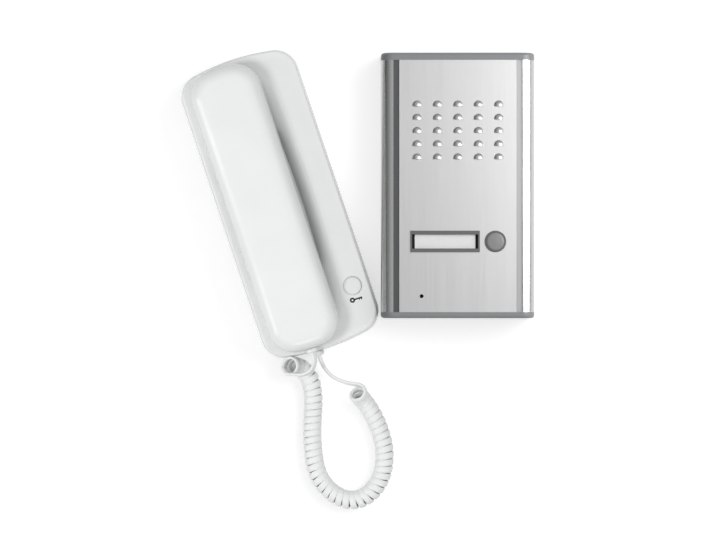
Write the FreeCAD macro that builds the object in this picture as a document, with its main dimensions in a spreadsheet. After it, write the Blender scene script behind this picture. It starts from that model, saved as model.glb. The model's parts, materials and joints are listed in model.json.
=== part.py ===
import FreeCAD, Part
import math
import os
import Sketcher
from FreeCAD import Placement, Rotation, Vector

# A wired door intercom set of two stations, both lying on their backs with +Z up.
# The indoor station is a moulded base with a handset in its trough and a curly cord.
# The door station is an aluminium extrusion with a louvred front plate.
# Lengths are in millimetres and angles in degrees.

driving_sizes = {
    # handset
    "handset_width": 52, "handset_length": 212, "handset_corner": 19, "handset_crown": 95,
    "handset_split": 30, "handset_top": 54, "handset_wall": 2, "handset_base": 14,
    "front_draft": 3, "rear_draft": 12, "shoulder_radius": 11, "crest_radius": 1400,
    "cup_length": 56, "waist_height": 24, "waist_round": 6,
    "receiver_radius": 18, "receiver_depth": 7, "boss_inset": 9,
    "sound_hole_radius": 1, "sound_hole_ring": 6, "mic_radius": 4.8, "mic_depth": 5, "boot_wall": 1.5,
    # indoor station's base, sized around the handset
    "end_margin": 4, "rim_margin": 7, "button_side": 29, "station_corner": 17, "station_crown": 160,
    "station_turn": 18.5, "parting_height": 8, "rear_step": 0.6, "cover_top": 24,
    "cover_wall": 2, "cover_draft": 5, "cover_edge": 1.8, "trough_floor": 17,
    "trough_clearance": 0.8, "rest_gap": 0.3, "post_radius": 4, "post_side_inset": 10,
    "post_end_inset": 21, "station_screw_spacing": 120, "wall_screw_radius": 2.25,
    "wall_screw_x": 14, "cable_entry_width": 26, "cable_entry_length": 18, "cable_entry_x": 14,
    "cable_entry_y": 24,
    # bay beside the handset, where the cover's top rolls down to let fingers in
    "bay_width": 12, "bay_round": 12, "bay_bow": 643, "bay_corner": 35, "bay_end_inset": 30,
    "bay_skim": 0.02,
    # cord and its strain reliefs
    "cord_diameter": 4.8, "coil_diameter": 12.7, "grommet_radius": 3.4, "collar_radius": 4.4,
    "collar_length": 3, "base_exit_x": -8,
    # release button and the switch under it
    "button_edge": 6.5, "button_end_inset": 37.3, "button_radius": 6.5, "button_gap": 0.3,
    "button_rise": 1.4, "button_travel": 1.5, "flange_width": 1.3, "flange_height": 1.4,
    "stem_radius": 2.2, "switch_width": 12, "switch_height": 3.5, "plunger_radius": 3,
    "plunger_rise": 3.8, "running_fit": 0.05,
    # circuit board and sounder of the indoor station
    "board_thickness": 1.6, "board_height": 4, "board_side_gap": 5, "board_length": 58,
    "board_post_gap": 1.5, "sounder_radius": 13, "sounder_height": 6,
    # hook lever
    "finger_inset": 12, "lever_pin_height": 7, "lever_pin_radius": 1.5, "lever_hub_radius": 3.4,
    "lever_width": 8, "lever_reach": 40, "lever_thickness": 3, "finger_width": 6,
    "slot_margin": 3.4, "ear_thickness": 2.5,
    # door station
    "door_width": 110, "door_length": 190, "door_depth": 38, "rail_width": 13,
    "plate_thickness": 2, "top_cap": 5.3, "bottom_cap": 4.4, "stripe_width": 4.2,
    "stripe_step": 1.2, "rail_wall": 2.4, "rail_foot": 9.7, "rail_land": 0.2,
    "ledge_width": 3, "screw_port_radius": 2.6, "cap_round": 2,
    "stations_apart": 1.6, "door_shift_y": 12.7,
    "louvre_radius": 3.4, "louvre_rise": 1.6, "louvre_skin": 0.6, "louvre_lip": 0.8,
    "louvre_pitch_x": 14.6, "louvre_pitch_y": 9.45, "louvre_inset": 37.7,
    "frame_width": 49.6, "frame_height": 15.4, "frame_x": -9.2, "window_inset": 54.9,
    "frame_side": 1.2, "frame_rim": 2.6, "frame_rise": 0.8, "frame_depth": 4,
    "card_margin": 1.95, "card_thickness": 0.4, "window_thickness": 1.2,
    "call_x": 26.8, "bezel_width": 1.3, "call_radius": 6.4, "bezel_rise": 0.8,
    "call_rise": 1.6, "mic_hole_radius": 1.4, "mic_x": -26.0, "mic_inset": 15.8,
    "speaker_radius": 28.5, "speaker_depth": 14,
    "housing_wall": 2, "housing_gap": 0.3, "door_screw_spacing": 130, "door_cable_radius": 6,
    "door_cable_y": 24, "door_board_height": 16, "door_board_length": 76, "door_board_inset": 11,
}
louvre_columns = 5
louvre_rows = 5


class Dim:
    """A length in a sketch or feature, with the sheet formula that keeps it bound."""

    def __init__(self, value, text):
        self.value = value
        self.text = text

    def joined(self, other, sign, result):
        return Dim(result, f"({self.text} {sign} {as_dim(other).text})")

    def __add__(self, other):
        return self.joined(other, "+", self.value + as_dim(other).value)

    def __sub__(self, other):
        return self.joined(other, "-", self.value - as_dim(other).value)

    def __mul__(self, other):
        return self.joined(other, "*", self.value * as_dim(other).value)

    def __truediv__(self, other):
        return self.joined(other, "/", self.value / as_dim(other).value)

    def __rsub__(self, other):
        return as_dim(other) - self

    def __rmul__(self, other):
        return as_dim(other) * self

    def __neg__(self):
        return Dim(-self.value, f"(-1 * {self.text})")

    __radd__ = __add__


def as_dim(number):
    return number if isinstance(number, Dim) else Dim(float(number), repr(float(number)))


def tangent(angle):
    return Dim(math.tan(math.radians(angle.value)), f"tan({angle.text})")


def half_chord(radius, height):
    """Half the width of a circle where a line crosses it at a height above its centre."""
    return Dim(math.sqrt(radius.value ** 2 - height.value ** 2),
               f"sqrt({radius.text} ^ 2 - {height.text} ^ 2)")


class Sizes:
    """The cells of the sheet, read by their names."""


doc = FreeCAD.newDocument("intercom_set")
sheet = doc.addObject("Spreadsheet::Sheet", "sizes")
size = Sizes()
for row, (name, number) in enumerate(driving_sizes.items(), start=1):
    sheet.set(f"A{row}", name)
    sheet.set(f"B{row}", str(number))
    sheet.setAlias(f"B{row}", name)
doc.recompute()
for name in driving_sizes:
    setattr(size, name, Dim(float(getattr(sheet, name)), f"sizes.{name}"))

# sizes and places that follow from the sheet
station_width = size.rim_margin + size.handset_width + size.button_side
station_length = size.handset_length + size.end_margin * 2
station_end = -station_length / 2
handset_x = size.rim_margin + (size.handset_width - station_width) / 2
waist_length = size.handset_length - size.cup_length * 2
bay_side = handset_x + size.handset_width / 2 + size.bay_width
bay_turn_y = size.handset_length / 2 - size.bay_end_inset
post_x = station_width / 2 - size.post_side_inset
post_y = station_length / 2 - size.post_end_inset
button_x = station_width / 2 - size.button_edge - size.button_radius
button_y = station_end + size.button_end_inset
board_width = station_width - size.board_side_gap * 2
board_y = size.board_length / 2 + size.post_radius + size.board_post_gap - post_y
finger_y = waist_length / 2 - size.finger_inset
lever_pin_y = finger_y - size.lever_reach
plate_width = size.door_width - size.rail_width * 2
rail_round = size.rail_width - size.stripe_width - size.rail_land
bezel_radius = size.call_radius + size.bezel_width
louvre_first_y = size.door_length / 2 - size.louvre_inset
window_y = size.window_inset - size.door_length / 2
door_mic_y = size.mic_inset - size.door_length / 2
speaker_y = louvre_first_y - size.louvre_pitch_y * (louvre_rows - 1) / 2
door_board_y = size.door_board_inset + (size.door_board_length - size.door_length) / 2

# ---------------------------------------------------------------- drawing helpers


def bind(thing, path, dim):
    """Ties one property of an object to the sheet."""
    thing.setExpression(path, as_dim(dim).text)


def origin_plane(body, role):
    return [item for item in body.Origin.OriginFeatures if item.Role == role][0]


def new_body(label):
    body = doc.addObject("PartDesign::Body", label)
    body.Label = label
    return body


def new_sketch(body, height=0.0, role="XY_Plane"):
    """An empty sketch on one of the body's own planes, raised along that plane's normal."""
    sketch = body.newObject("Sketcher::SketchObject", body.Name + "_sketch")
    sketch.AttachmentSupport = [(origin_plane(body, role), "")]
    sketch.MapMode = "FlatFace"
    bind(sketch, "AttachmentOffset.Base.z", height)
    return sketch


def constrain(sketch, *parts, dim=None):
    """Adds a constraint; with a size, the constraint follows the sheet."""
    if dim is None:
        sketch.addConstraint(Sketcher.Constraint(*parts))
        return
    number = sketch.addConstraint(Sketcher.Constraint(*parts, dim.value))
    bind(sketch, f"Constraints[{number}]", dim)


def pin_axis(sketch, kind, geometry, point, dim):
    """Holds one coordinate of a point, whichever side of the origin it lies on."""
    dim = as_dim(dim)
    if abs(dim.value) < 1e-9:
        axis = -2 if kind == "DistanceX" else -1
        constrain(sketch, "PointOnObject", geometry, point, axis)
    elif dim.value > 0:
        constrain(sketch, kind, -1, 1, geometry, point, dim=dim)
    else:
        constrain(sketch, kind, geometry, point, -1, 1, dim=-dim)


def pin(sketch, geometry, point, x, y):
    pin_axis(sketch, "DistanceX", geometry, point, x)
    pin_axis(sketch, "DistanceY", geometry, point, y)


def arc(x, y, radius, start, end):
    circle = Part.Circle(Vector(x, y, 0), Vector(0, 0, 1), radius)
    return Part.ArcOfCircle(circle, start, end)


def line(x1, y1, x2, y2):
    return Part.LineSegment(Vector(x1, y1, 0), Vector(x2, y2, 0))


def draw_crowned(sketch, width, length, corner, crown, x=0.0):
    """An oblong with straight sides, rounded corners and gently bowed ends."""
    width, length, corner, crown, x = [as_dim(item) for item in (width, length, corner, crown, x)]
    side = width.value / 2
    arm = side - corner.value
    bow_y = length.value / 2 - crown.value
    corner_y = bow_y + math.sqrt((crown.value - corner.value) ** 2 - arm ** 2)
    turn = math.atan2(corner_y - bow_y, arm)
    mid, half_turn = x.value, math.pi
    sketch.addGeometry([
        line(mid + side, -corner_y, mid + side, corner_y),
        arc(mid + arm, corner_y, corner.value, 0, turn),
        arc(mid, bow_y, crown.value, turn, half_turn - turn),
        arc(mid - arm, corner_y, corner.value, half_turn - turn, half_turn),
        line(mid - side, corner_y, mid - side, -corner_y),
        arc(mid - arm, -corner_y, corner.value, half_turn, half_turn + turn),
        arc(mid, -bow_y, crown.value, half_turn + turn, 2 * half_turn - turn),
        arc(mid + arm, -corner_y, corner.value, 2 * half_turn - turn, 2 * half_turn),
    ], False)
    for index in range(8):
        constrain(sketch, "Tangent", index, 2, (index + 1) % 8, 1)
    for index in (3, 5, 7):
        constrain(sketch, "Equal", 1, index)
    constrain(sketch, "Equal", 2, 6)
    constrain(sketch, "Radius", 1, dim=corner)
    constrain(sketch, "Radius", 2, dim=crown)
    for index in (0, 4):
        constrain(sketch, "Vertical", index)
    pin(sketch, 2, 3, x, length / 2 - crown)
    pin(sketch, 6, 3, x, crown - length / 2)
    pin_axis(sketch, "DistanceX", 0, 1, x + width / 2)
    pin_axis(sketch, "DistanceX", 4, 1, x - width / 2)


def draw_polygon(sketch, points):
    """A closed outline with every corner pinned to the sheet; returns its first edge."""
    points = [(as_dim(x), as_dim(y)) for x, y in points]
    first = sketch.GeometryCount
    count = len(points)
    for index, (x, y) in enumerate(points):
        far_x, far_y = points[(index + 1) % count]
        sketch.addGeometry(line(x.value, y.value, far_x.value, far_y.value), False)
    for index in range(count):
        constrain(sketch, "Coincident", first + index, 2, first + (index + 1) % count, 1)
    for index, (x, y) in enumerate(points):
        pin(sketch, first + index, 1, x, y)
    return first


def pad(body, sketch, height, draft=None, downward=False):
    feature = body.newObject("PartDesign::Pad", body.Name + "_pad")
    feature.Profile = sketch
    bind(feature, "Length", height)
    feature.Reversed = downward
    if draft is not None:
        bind(feature, "TaperAngle", draft)
    doc.recompute()
    return feature


def pocket(body, sketch, depth, both_ways=False):
    """Cuts downward from the sketch's plane, and makes sure that something was cut."""
    before = body.Shape.Volume
    feature = body.newObject("PartDesign::Pocket", body.Name + "_pocket")
    feature.Profile = sketch
    bind(feature, "Length", depth)
    feature.Midplane = both_ways
    doc.recompute()
    if not body.Shape.Volume < before - 1e-3:
        raise RuntimeError(f"the pocket in {body.Label} cuts nothing")
    return feature


def revolve(body, sketch):
    """Turns a sketch right round its own vertical axis."""
    feature = body.newObject("PartDesign::Revolution", body.Name + "_turned")
    feature.Profile = sketch
    feature.ReferenceAxis = (sketch, ["V_Axis"])
    feature.Angle = 360
    doc.recompute()
    return feature


def fillet(body, radius, wanted):
    """Rounds the body's edges that the rule picks."""
    base = body.Tip
    names = [f"Edge{number}" for number, edge in enumerate(base.Shape.Edges, start=1) if wanted(edge)]
    feature = body.newObject("PartDesign::Fillet", body.Name + "_fillet")
    feature.Base = (base, names)
    bind(feature, "Radius", radius)
    doc.recompute()
    return feature


def at_height(height):
    return lambda edge: all(abs(corner.Z - height.value) < 1e-5 for corner in edge.Vertexes)


def within(low_x, high_x, high_y):
    """Picks edges whose middle lies clear of an oblong's sides."""
    def wanted(edge):
        middle = edge.valueAt((edge.FirstParameter + edge.LastParameter) / 2)
        return low_x.value + 1 < middle.x < high_x.value - 1 and abs(middle.y) < high_y.value - 1
    return wanted


def move(thing, x=0.0, y=0.0, z=0.0):
    """Sets a piece down at a place that follows the sheet."""
    for axis, dim in zip("xyz", (x, y, z)):
        bind(thing, f"Placement.Base.{axis}", dim)
    return thing


def rod(label, radius, height, x=0.0, y=0.0, z=0.0):
    """An upright cylinder standing on a height."""
    thing = doc.addObject("Part::Cylinder", label)
    bind(thing, "Radius", radius)
    bind(thing, "Height", height)
    return move(thing, x, y, z)


def rod_along(label, axis, radius, length, x, y, z):
    """A lying cylinder, centred along the X or Y axis."""
    thing = rod(label, radius, length)
    half = as_dim(length) / 2
    turns = {"x": Rotation(Vector(0, 1, 0), 90), "y": Rotation(Vector(1, 0, 0), -90)}
    thing.Placement = Placement(Vector(), turns[axis])
    if axis == "x":
        return move(thing, as_dim(x) - half, y, z)
    return move(thing, x, as_dim(y) - half, z)


def block(label, width, length, height, x=0.0, y=0.0, z=0.0):
    """A box centred on a point of the plan, standing on a height."""
    thing = doc.addObject("Part::Box", label)
    bind(thing, "Length", width)
    bind(thing, "Width", length)
    bind(thing, "Height", height)
    return move(thing, as_dim(x) - as_dim(width) / 2, as_dim(y) - as_dim(length) / 2, z)


def cut(label, base, tool):
    thing = doc.addObject("Part::Cut", label)
    thing.Base = base
    thing.Tool = tool
    doc.recompute()
    return thing


def joined(label, *pieces):
    thing = doc.addObject("Part::MultiFuse", label)
    thing.Shapes = list(pieces)
    doc.recompute()
    return thing


def shared(label, *pieces):
    thing = doc.addObject("Part::MultiCommon", label)
    thing.Shapes = list(pieces)
    doc.recompute()
    return thing


# ---------------------------------------------------------------- where the stations lie

turn = Rotation(Vector(0, 0, 1), size.station_turn.value)


def corner_reach():
    """How far the turned base reaches from its centre along X and Y."""
    arm = station_width.value / 2 - size.station_corner.value
    bow_y = station_length.value / 2 - size.station_crown.value
    corner_y = bow_y + math.sqrt((size.station_crown.value - size.station_corner.value) ** 2 - arm ** 2)
    sine, cosine = math.sin(turn.Angle), math.cos(turn.Angle)
    reach_x = arm * cosine + corner_y * sine + size.station_corner.value
    reach_y = arm * sine + corner_y * cosine + size.station_corner.value
    return reach_x, reach_y


reach_x, reach_y = corner_reach()
door_half_width = size.door_width.value / 2
door_half_length = size.door_length.value / 2
left_edge = -reach_x
door_x = reach_x + size.stations_apart.value + door_half_width
right_edge = door_x + door_half_width
back_edge = max(reach_y, size.door_shift_y.value + door_half_length)
front_edge = min(-reach_y, size.door_shift_y.value - door_half_length)
station_centre = Vector(-(left_edge + right_edge) / 2, -(back_edge + front_edge) / 2, 0)
door_centre = station_centre + Vector(door_x, size.door_shift_y.value, 0)
indoor = Placement(station_centre, turn)
outdoor = Placement(door_centre, Rotation())
beside_station = Placement(station_centre, Rotation())

nodes = []


def place(thing, frame):
    """Sets a finished piece into the shared frame and keeps it for writing."""
    doc.recompute()
    inner = thing.Placement
    thing.setExpression("Placement.Base.x", None)
    thing.setExpression("Placement.Base.y", None)
    thing.setExpression("Placement.Base.z", None)
    thing.Placement = frame.multiply(inner)
    nodes.append(thing)
    return thing


# ---------------------------------------------------------------- base of the indoor station

print("base of the indoor station")


def cover_form(label, inset):
    """The front cover's outside, or its inside when set in by the wall."""
    body = new_body(label)
    inset = as_dim(inset)
    sketch = new_sketch(body, size.parting_height)
    draw_crowned(sketch, station_width - inset * 2, station_length - inset * 2,
                 size.station_corner - inset, size.station_crown - inset)
    pad(body, sketch, size.cover_top - size.parting_height - inset, -size.cover_draft)
    return body


def set_in(drop, grow):
    """How far the handset's drafted lower half has narrowed at a depth below its split line."""
    return drop * tangent(size.rear_draft) - size.trough_clearance - grow


cup_floor = size.handset_base - size.rest_gap


def trough_form(label, grow):
    """The handset's bed: a full-length trough with a deeper cup at each end."""
    grow = as_dim(grow)
    floor = cup_floor - grow
    top = size.cover_top + 2
    body = new_body(label + "_bed")
    sketch = new_sketch(body, floor)
    inset = set_in(size.handset_split - floor, grow)
    draw_crowned(sketch, size.handset_width - inset * 2, size.handset_length - inset * 2,
                 size.handset_corner - inset, size.handset_crown - inset, handset_x)
    pad(body, sketch, top - floor, size.rear_draft)
    bridge = block(label + "_bridge", size.handset_width * 2,
                   waist_length - size.trough_clearance * 2 - grow * 2,
                   size.trough_floor - cup_floor, handset_x, 0, floor)
    return cut(label, body, bridge)


def bay_form(label, grow):
    """What the cover loses beside the handset: its top rolls down along a bowed line."""
    grow = as_dim(grow)
    top = size.cover_top - grow + size.bay_skim
    round_radius = size.bay_round - grow
    bow = size.bay_bow - size.bay_round + grow
    corner = size.bay_corner - size.bay_round + grow
    bow_x = bay_side - size.bay_bow
    share = 1 - size.bay_corner / size.bay_bow
    corner_x = bow_x + half_chord(size.bay_bow, bay_turn_y) * share
    corner_y = bay_turn_y * share
    end_y = corner_y + corner
    depth = size.bay_round + size.cover_wall
    near_x, far_x = corner_x + 2, bay_side + 4
    far_y = size.handset_length / 2 + 8
    body = new_body(label + "_shoulder")
    slab = new_sketch(body, top - depth)
    draw_polygon(slab, [(near_x, -far_y), (far_x, -far_y), (far_x, far_y), (near_x, far_y)])
    pad(body, slab, depth)
    hollow = new_sketch(body, top)
    turn = math.asin(bay_turn_y.value / size.bay_bow.value)
    quarter = math.pi / 2
    hollow.addGeometry([
        arc(bow_x.value, 0, bow.value, -turn, turn),
        arc(corner_x.value, corner_y.value, corner.value, turn, quarter),
        line(corner_x.value, end_y.value, corner_x.value, -end_y.value),
        arc(corner_x.value, -corner_y.value, corner.value, -quarter, -turn),
    ], False)
    constrain(hollow, "Tangent", 0, 2, 1, 1)
    constrain(hollow, "Coincident", 1, 2, 2, 1)
    constrain(hollow, "Coincident", 2, 2, 3, 1)
    constrain(hollow, "Tangent", 3, 2, 0, 1)
    constrain(hollow, "Radius", 0, dim=bow)
    pin(hollow, 0, 3, bow_x, 0)
    pin(hollow, 1, 3, corner_x, corner_y)
    pin(hollow, 3, 3, corner_x, -corner_y)
    pin_axis(hollow, "DistanceX", 1, 2, corner_x)
    pin_axis(hollow, "DistanceX", 3, 1, corner_x)
    pocket(body, hollow, depth)
    rim, inner = at_height(top), within(near_x, far_x, far_y)
    fillet(body, round_radius, lambda edge: rim(edge) and inner(edge))
    space = block(label + "_space", far_x - near_x - 1, far_y * 2 - 2,
                  top + 4 - size.trough_floor + grow, (far_x + near_x - 1) / 2, 0,
                  size.trough_floor - grow)
    return cut(label, space, body)


post_places = [(side_x, side_y) for side_x in (-1, 1) for side_y in (-1, 1)]
screw_radius = 1.5
screw_head_radius = 2.9
screw_head_height = 1.8

# front cover: outer form, less the trough and bay, less the cavity that leaves one wall
outer = cover_form("cover_outside", 0.0)
fillet(outer, size.cover_edge, at_height(size.cover_top))
hollows = joined("cover_hollows", trough_form("trough", 0.0), bay_form("bay", 0.0))
thick_hollows = joined("cover_hollows_thick", trough_form("trough_thick", size.cover_wall),
                       bay_form("bay_thick", size.cover_wall))
cavity = cut("cover_cavity", cover_form("cover_inside", size.cover_wall), thick_hollows)
skin = cut("cover_skin", outer, joined("cover_spaces", hollows, cavity))

left_post_top = cup_floor - size.cover_wall / 2
right_post_top = size.cover_top - size.cover_wall / 2
posts = []
for side_x, side_y in post_places:
    top = right_post_top if side_x > 0 else left_post_top
    posts.append(rod("cover_post", size.post_radius, top - size.parting_height,
                     side_x * post_x, side_y * post_y, size.parting_height))
guide_bottom = size.cover_top - size.cover_wall - 2
guide = rod("button_guide", size.button_radius + size.flange_width + 2, size.cover_wall + 1,
            button_x, button_y, guide_bottom)
cover_solid = cut("cover_solid", joined("cover_body", skin, guide, *posts), hollows)

button_bore = size.button_radius + size.button_gap
flange_bore = size.button_radius + size.flange_width + size.button_gap
flange_top = size.cover_top - size.cover_wall
openings = [
    rod("button_hole", button_bore, 20, button_x, button_y, size.cover_top - 10),
    rod("flange_hole", flange_bore, 10, button_x, button_y, flange_top - 10),
    block("lever_slot", size.finger_width + 2, size.finger_width + size.slot_margin * 2, 12,
          handset_x, finger_y - 1, size.trough_floor - 8),
    rod_along("cover_cord_notch", "y", size.grommet_radius, 12, size.base_exit_x,
              -station_length / 2, size.parting_height),
]
for side_x, side_y in post_places:
    openings.append(rod("cover_screw_hole", screw_radius, 3, side_x * post_x,
                        side_y * post_y, size.parting_height))
front_cover = cut("front_cover", cover_solid, joined("cover_openings", *openings))
place(front_cover, indoor)

# rear cover: a shallow tray with posts, board pegs and the lever's two ears
rear = new_body("rear_tray")
rear_sketch = new_sketch(rear)
rear_width = station_width - size.rear_step * 2
rear_length = station_length - size.rear_step * 2
draw_crowned(rear_sketch, rear_width, rear_length, size.station_corner - size.rear_step,
             size.station_crown - size.rear_step)
pad(rear, rear_sketch, size.parting_height)
fillet(rear, 1.0, at_height(as_dim(0)))
rear_pocket = new_sketch(rear, size.parting_height)
draw_crowned(rear_pocket, rear_width - size.cover_wall * 2, rear_length - size.cover_wall * 2,
             size.station_corner - size.rear_step - size.cover_wall,
             size.station_crown - size.rear_step - size.cover_wall)
pocket(rear, rear_pocket, size.parting_height - size.cover_wall)

rear_parts = [rear]
for side_x, side_y in post_places:
    rear_parts.append(rod("rear_post", size.post_radius, size.parting_height - size.cover_wall + 0.5,
                          side_x * post_x, side_y * post_y, size.cover_wall - 0.5))
peg_x = board_width / 2 - 4
peg_y = size.board_length / 2 - 12
for side_x, side_y in post_places:
    rear_parts.append(rod("board_peg", 2.5, size.board_height - size.cover_wall + 0.5,
                          side_x * peg_x, board_y + side_y * peg_y, size.cover_wall - 0.5))
hub_half = size.lever_width / 2
ear_x = hub_half + 0.3 + size.ear_thickness / 2
ear_top = size.lever_pin_height + size.lever_pin_radius + 2
for side in (-1, 1):
    rear_parts.append(block("lever_ear", size.ear_thickness, size.lever_hub_radius * 2,
                            ear_top - size.cover_wall + 0.5, handset_x + side * ear_x,
                            lever_pin_y, size.cover_wall - 0.5))
rear_solid = joined("rear_solid", *rear_parts)

pin_length = (ear_x + size.ear_thickness / 2) * 2
rear_cuts = [
    rod_along("pin_hole", "x", size.lever_pin_radius, pin_length + 4, handset_x,
              lever_pin_y, size.lever_pin_height),
    rod_along("rear_cord_notch", "y", size.grommet_radius, 12, size.base_exit_x,
              -station_length / 2, size.parting_height),
    block("cable_entry", size.cable_entry_width, size.cable_entry_length, 6, size.cable_entry_x,
          size.cable_entry_y, -1),
]
for side_x, side_y in post_places:
    rear_cuts.append(rod("rear_screw_hole", screw_radius + 0.2, 12, side_x * post_x,
                         side_y * post_y, -1))
    rear_cuts.append(rod("rear_screw_sink", screw_head_radius + 0.3, screw_head_height + 1.6,
                         side_x * post_x, side_y * post_y, -1))
for side_y in (-1, 1):
    rear_cuts.append(rod("wall_hole", size.wall_screw_radius, 6, size.wall_screw_x,
                         side_y * size.station_screw_spacing / 2, -1))
rear_cover = cut("rear_cover", rear_solid, joined("rear_openings", *rear_cuts))
place(rear_cover, indoor)


# ---------------------------------------------------------------- inside the indoor station

print("works of the indoor station")


def turned(label, points, x=0.0, y=0.0, axis="z"):
    """A body turned from a half outline of (radius, height) corners, about Z or along Y."""
    body = new_body(label)
    sketch = new_sketch(body, 0.0, "XZ_Plane" if axis == "z" else "XY_Plane")
    draw_polygon(sketch, points)
    revolve(body, sketch)
    return move(body, x, y, 0)


def ring(label, outer, inner, height, x, y, z):
    hole = rod(label + "_bore", inner, as_dim(height) + 2, x, y, as_dim(z) - 1)
    return cut(label, rod(label + "_disc", outer, height, x, y, z), hole)


def push_switch(label, x, y, seat):
    """A switch body on a board, with the plunger that its button pushes into it."""
    top = seat + size.switch_height
    case = block(label + "_case", size.switch_width, size.switch_width, size.switch_height, x, y, seat)
    bore = rod(label + "_bore", size.plunger_radius + size.running_fit, 20, x, y, seat + 0.2)
    plunger_foot = seat + size.button_travel + 0.4
    plunger = rod(label.replace("switch", "plunger"), size.plunger_radius,
                  top + size.plunger_rise - plunger_foot, x, y, plunger_foot)
    return cut(label, case, bore), plunger


def button_outline(cap_radius, cap_top, flange_top, foot):
    """Half outline of a domed cap with a retaining flange and a stem."""
    flange_radius = cap_radius + size.flange_width
    flange_foot = flange_top - size.flange_height
    return [
        (0, foot), (size.stem_radius, foot), (size.stem_radius, flange_foot),
        (flange_radius, flange_foot), (flange_radius, flange_top), (cap_radius, flange_top),
        (cap_radius, cap_top - 0.7), (cap_radius - 0.5, cap_top - 0.25),
        (cap_radius - 1.4, cap_top), (0, cap_top + 0.3),
    ]


board_top = size.board_height + size.board_thickness
release_switch, release_plunger = push_switch("release_switch", button_x, button_y, board_top)
release_button = turned("release_button", button_outline(
    size.button_radius, size.cover_top + size.button_rise, flange_top - size.rest_gap,
    board_top + size.switch_height + size.plunger_rise), button_x, button_y)
for thing in (release_button, release_plunger, release_switch):
    place(thing, indoor)

board_pieces = [block("station_board_sheet", board_width, size.board_length,
                      size.board_thickness, 0, board_y, size.board_height)]
capacitors = ((-22, -11.5, 4, 5.5), (-10, -11.5, 3, 5), (4, -7.5, 2.5, 5))
for part_x, part_y, part_radius, part_height in capacitors:
    board_pieces.append(rod("board_capacitor", part_radius, part_height, part_x, board_y + part_y,
                            board_top - 0.2))
for part_x, part_y, part_width, part_length, part_height in ((-24, 6.5, 14, 8, 4), (26, 10.5, 12, 16, 9)):
    board_pieces.append(block("board_chip", part_width, part_length, part_height, part_x,
                              board_y + part_y, board_top - 0.2))
lower_wall_hole = -size.station_screw_spacing / 2
access = rod("board_access", 5, 12, size.wall_screw_x, lower_wall_hole, size.board_height - 2)
place(cut("station_board", joined("station_board_built", *board_pieces), access), indoor)


def terminal(label, x, y, seat):
    """A row of screw terminals: a stepped block with five wire mouths and five screw wells."""
    case = block(label + "_case", 30, 9, 8, x, y, seat)
    holes = []
    for place_number in range(-2, 3):
        centre = as_dim(x) + place_number * 5.6
        holes.append(rod(label + "_well", 1.8, 4, centre, y, seat + 5))
        holes.append(block(label + "_mouth", 3.2, 4, 3, centre, as_dim(y) - 4, seat + 1))
    return cut(label, case, joined(label + "_holes", *holes))


place(terminal("terminal_block", handset_x, board_y + size.board_length / 2 - 10.5, board_top), indoor)
sounder_x = post_x + size.post_radius + 2 - size.sounder_radius
sounder_y = post_y - size.sounder_radius - size.post_radius
sounder = joined(
    "sounder_form",
    rod("sounder_can", size.sounder_radius, size.sounder_height, sounder_x, sounder_y, size.cover_wall),
    rod("sounder_dome", size.sounder_radius - 4, size.sounder_height + 1, sounder_x, sounder_y,
        size.cover_wall),
)
sounder_port = rod("sounder_port", 2, 4, sounder_x, sounder_y, size.cover_wall + size.sounder_height - 2)
place(cut("call_sounder", sounder, sounder_port), indoor)

# hook lever: a hub on a pin, an arm, and a finger that stands up through the trough
arm_low = size.lever_pin_height - size.lever_thickness / 2
arm_length = size.lever_reach + size.finger_width / 2
finger_top = size.waist_height - size.rest_gap
lever = joined(
    "lever_form",
    rod_along("lever_hub", "x", size.lever_hub_radius, size.lever_width, handset_x,
              lever_pin_y, size.lever_pin_height),
    block("lever_arm", size.lever_width, arm_length, size.lever_thickness, handset_x,
          lever_pin_y + arm_length / 2, arm_low),
    block("lever_finger", size.finger_width, size.finger_width, finger_top - arm_low,
          handset_x, finger_y, arm_low),
)
lever_bore = rod_along("lever_bore", "x", size.lever_pin_radius + size.running_fit,
                       size.lever_width + 4, handset_x, lever_pin_y, size.lever_pin_height)
place(cut("hook_lever", lever, lever_bore), indoor)
place(rod_along("hook_lever_pin", "x", size.lever_pin_radius, pin_length, handset_x,
                lever_pin_y, size.lever_pin_height), indoor)
place(block("hook_switch", 6, 6, arm_low - size.cover_wall - size.rest_gap, handset_x,
            lever_pin_y + 16, size.cover_wall), indoor)


def screw(label, head_x, head_y, head_z, length):
    """A pan-head screw pointing up, with its head's underside given."""
    head = rod(label + "_head", screw_head_radius, screw_head_height, head_x, head_y,
               as_dim(head_z) - screw_head_height)
    shank = rod(label + "_shank", screw_radius, length, head_x, head_y, head_z)
    return joined(label, head, shank)


sink_top = as_dim(screw_head_height + 0.6)
for number, (side_x, side_y) in enumerate(post_places, start=1):
    place(screw(f"cover_screw_{number}", side_x * post_x, side_y * post_y, sink_top,
                size.parting_height + 2.8 - sink_top), indoor)


def grommet(label, x, y, z, wall):
    """A strain relief: a neck through the wall and a tapered collar outside it."""
    thing = turned(label, [
        (0, -size.collar_length), (size.collar_radius - 1, -size.collar_length),
        (size.collar_radius, -size.collar_length + 1), (size.collar_radius, 0),
        (size.grommet_radius, 0), (size.grommet_radius, wall), (0, wall),
    ], x, y, axis="y")
    return move(thing, x, y, z)


place(grommet("base_grommet", size.base_exit_x, station_end, size.parting_height, 4.0), indoor)

# ---------------------------------------------------------------- handset

print("handset")


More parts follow.
